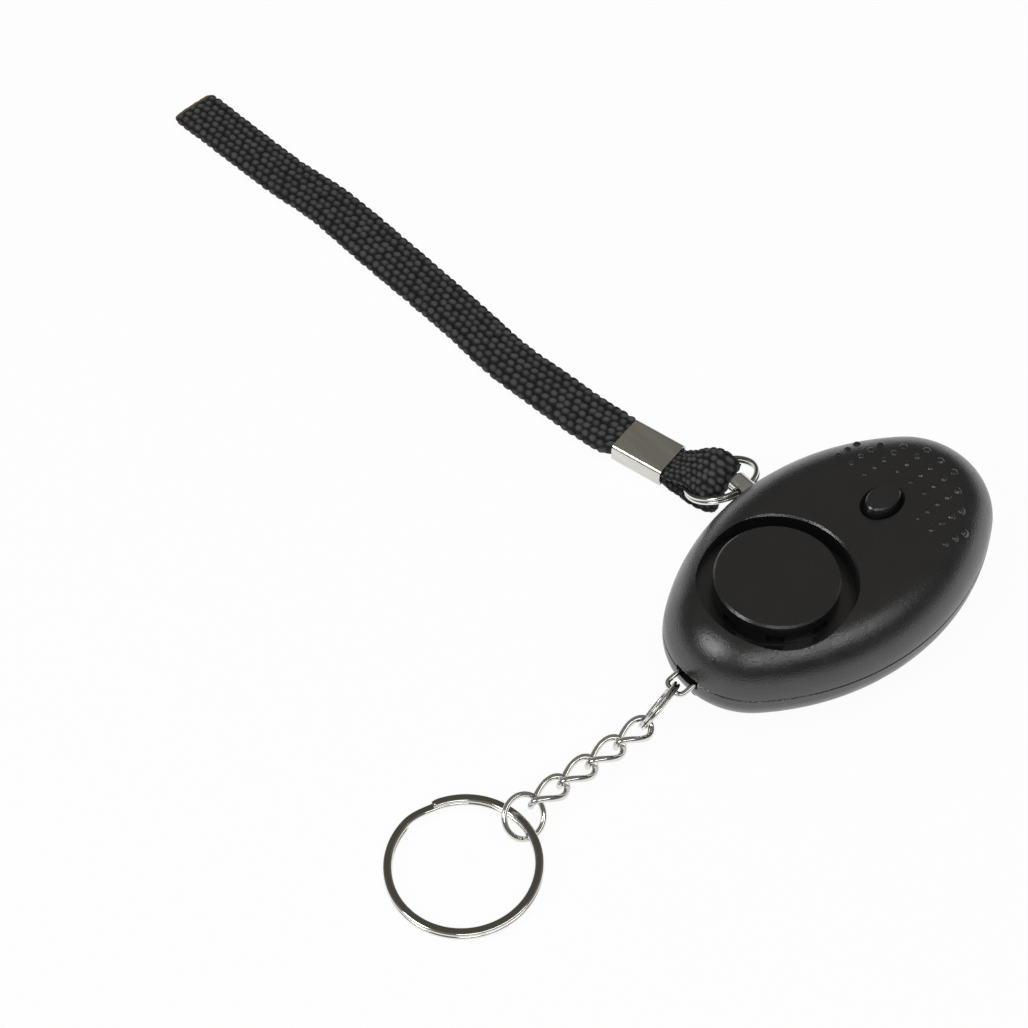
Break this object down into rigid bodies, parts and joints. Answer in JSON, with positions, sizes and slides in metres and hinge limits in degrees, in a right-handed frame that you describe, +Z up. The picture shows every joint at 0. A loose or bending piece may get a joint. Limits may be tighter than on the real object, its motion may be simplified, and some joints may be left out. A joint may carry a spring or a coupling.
{
  "type": "personal safety alarm",
  "caption": "Oval two-shell pocket alarm with a round siren cap, test button and grip bumps; a pull pin on a braided wrist strap sets it off, and a curb chain carries a key ring.",
  "frame": {"origin": "centre of the flat back", "axes": "X along the body with the key chain at -X, Y across with the pull pin at +Y, Z up from the flat back towards the siren"},
  "size_m": [0.1243, 0.1828, 0.0185],
  "materials": {
    "shell": "fine textured black",
    "cap": "smooth satin black",
    "button": "smooth satin black",
    "screw": "zinc plated",
    "holder": "natural moulded plastic",
    "brass": "plain sheet",
    "ceramic": "silvered ceramic",
    "switch": "moulded",
    "plunger": "moulded",
    "board": "coated glass-fibre board",
    "ferrite": "ferrite",
    "copper": "enamelled copper wire",
    "chip": "moulded",
    "cell": "plated can",
    "contact": "plated spring sheet",
    "wire": "insulated wire",
    "nickel": "bright nickel plating",
    "strap": "flat braided polyester"
  },
  "bodies": {
    "base": {"front_shell": "shell", "rear_shell": "shell", "shell_screws": "screw", "siren_cap": "cap", "chain_loop": "nickel", "piezo_holder": "holder", "piezo_diaphragm": "brass", "piezo_ceramic": "ceramic", "switch_case": "switch", "circuit_board": "board", "coil_core": "ferrite", "coil_winding": "copper", "driver_chip": "chip", "transistor": "chip", "lower_cell": "cell", "upper_cell": "cell", "negative_contact": "contact", "positive_contact": "contact", "pin_guide": "holder", "fixed_contact": "contact", "piezo_wires": "wire"},
    "button": {"push_button": "button", "switch_plunger": "plunger"},
    "pin": {"pull_pin": "nickel"},
    "strap": {"pin_ring": "nickel", "strap_fold": "strap", "strap_clamp": "nickel", "strap": "strap"},
    "arm": {"contact_arm": "contact"},
    "ring": {"chain_ring": "nickel"},
    "link_1": {"chain_link_1": "nickel"},
    "link_2": {"chain_link_2": "nickel"},
    "link_3": {"chain_link_3": "nickel"},
    "link_4": {"chain_link_4": "nickel"},
    "jump": {"jump_ring": "nickel"},
    "key": {"key_ring": "nickel"}
  },
  "joints": [
    {"name": "button_press", "type": "slide", "parent": "base", "child": "button", "axis": [0, 0, -1], "range_m": [0, 0.0005], "stiffness_N_per_m": 1500, "springref_m": -0.0002},
    {"name": "pin_pull", "type": "slide", "parent": "base", "child": "pin", "axis": [0, 1, 0], "range_m": [0, 0.016]},
    {"name": "strap_swing", "type": "hinge", "parent": "pin", "child": "strap", "pos_m": [0.0014, 0.0216, 0.0077], "axis": [1, 0, 0], "range_deg": [0, 75]},
    {"name": "arm_close", "type": "hinge", "parent": "base", "child": "arm", "pos_m": [0.00025, 0.011, 0.0077], "axis": [0, 0, 1], "range_deg": [0, 33.1]},
    {"name": "ring_swing", "type": "hinge", "parent": "base", "child": "ring", "pos_m": [-0.0352, 0, 0.00671], "axis": [0, 1, 0], "range_deg": [-20, 45]},
    {"name": "link_1_swing", "type": "hinge", "parent": "ring", "child": "link_1", "pos_m": [-0.04157, 0, 0.00242], "axis": [0.5026, 0.4384, -0.7451], "range_deg": [-20, 25]},
    {"name": "link_2_swing", "type": "hinge", "parent": "link_1", "child": "link_2", "pos_m": [-0.04751, -0.00039, 0.00315], "axis": [0, 0.1736, -0.9848], "range_deg": [-20, 20]},
    {"name": "link_3_swing", "type": "hinge", "parent": "link_2", "child": "link_3", "pos_m": [-0.05341, -0.0003, 0.00331], "axis": [0, 0.1736, -0.9848], "range_deg": [-20, 20]},
    {"name": "link_4_swing", "type": "hinge", "parent": "link_3", "child": "link_4", "pos_m": [-0.0593, -0.0002, 0.00346], "axis": [0, 0.1736, -0.9848], "range_deg": [-20, 20]},
    {"name": "jump_swing", "type": "hinge", "parent": "link_4", "child": "jump", "pos_m": [-0.0652, -0.00011, 0.00362], "axis": [0, 0.1736, -0.9848], "range_deg": [-20, 20]},
    {"name": "key_swing", "type": "hinge", "parent": "jump", "child": "key", "pos_m": [-0.06768, -0.00062, 0.00214], "axis": [0, 1, 0], "range_deg": [0, 75]}
  ],
  "couplings": [
    {"joint": "arm_close", "follows": "pin_pull", "rad_per_m": 36}
  ]
}
